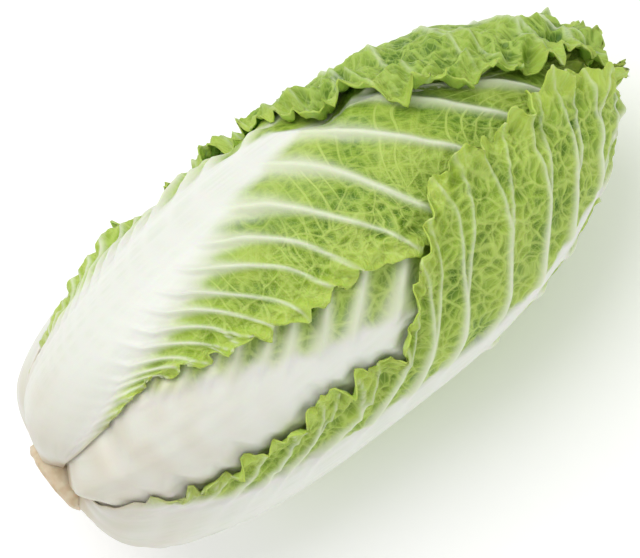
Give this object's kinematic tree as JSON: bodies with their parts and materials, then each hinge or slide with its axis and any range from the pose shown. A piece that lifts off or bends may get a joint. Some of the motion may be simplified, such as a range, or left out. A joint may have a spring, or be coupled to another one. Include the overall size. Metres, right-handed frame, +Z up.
{
  "type": "napa cabbage",
  "caption": "Whole head of napa cabbage on its side: broad white ribs, crinkled green leaf blades wrapped in layers, and a cut stem.",
  "frame": {"origin": "middle of the flat spot under the lowest leaf, which the head rests on", "axes": "+X from the cut stem to the leafy crown, +Z up, and -Y towards the side that the picture is taken from"},
  "size_m": [0.2984, 0.1393, 0.1378],
  "materials": {
    "wrapper_leaf": "satin",
    "ribbed_leaf": "satin",
    "inner_leaf": "satin",
    "heart_leaf": "satin",
    "cut_stem": "matt"
  },
  "bodies": {
    "root": {"leaf_underside": "ribbed_leaf", "leaf_front_side": "wrapper_leaf", "leaf_rear_side": "wrapper_leaf", "leaf_lower_rear": "wrapper_leaf", "leaf_top_broad": "wrapper_leaf", "leaf_top_front": "ribbed_leaf", "leaf_inner_1": "inner_leaf", "leaf_inner_2": "inner_leaf", "leaf_inner_3": "inner_leaf", "leaf_inner_4": "inner_leaf", "leaf_inner_5": "inner_leaf", "heart_leaves": "heart_leaf", "stem_butt": "cut_stem"}
  },
  "joints": []
}
